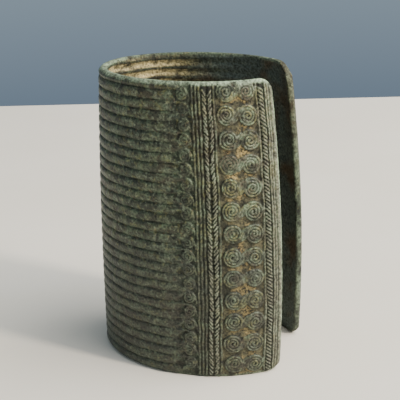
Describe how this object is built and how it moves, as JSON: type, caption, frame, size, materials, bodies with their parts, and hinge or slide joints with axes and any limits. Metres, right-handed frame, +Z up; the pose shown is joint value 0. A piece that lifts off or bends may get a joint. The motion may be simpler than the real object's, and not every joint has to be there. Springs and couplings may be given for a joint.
{
  "type": "bronze cuff bracelet",
  "caption": "Tall open bronze arm cuff with ribs round the back and a panel of coiled spirals, ridges and braids beside each end.",
  "frame": {"origin": "on the surface it stands on, under the middle of the box round the cuff", "axes": "+Z up along the cuff's length, +X out through the middle of the gap between its ends, so the cuff is a mirror image of itself across the XZ plane"},
  "size_m": [0.076, 0.0618, 0.11],
  "materials": {
    "bronze": "aged cast bronze, dark green-brown patina with pale worn crests and ochre soil in the hollows"
  },
  "bodies": {
    "root": {"cuff": "bronze"}
  },
  "joints": []
}
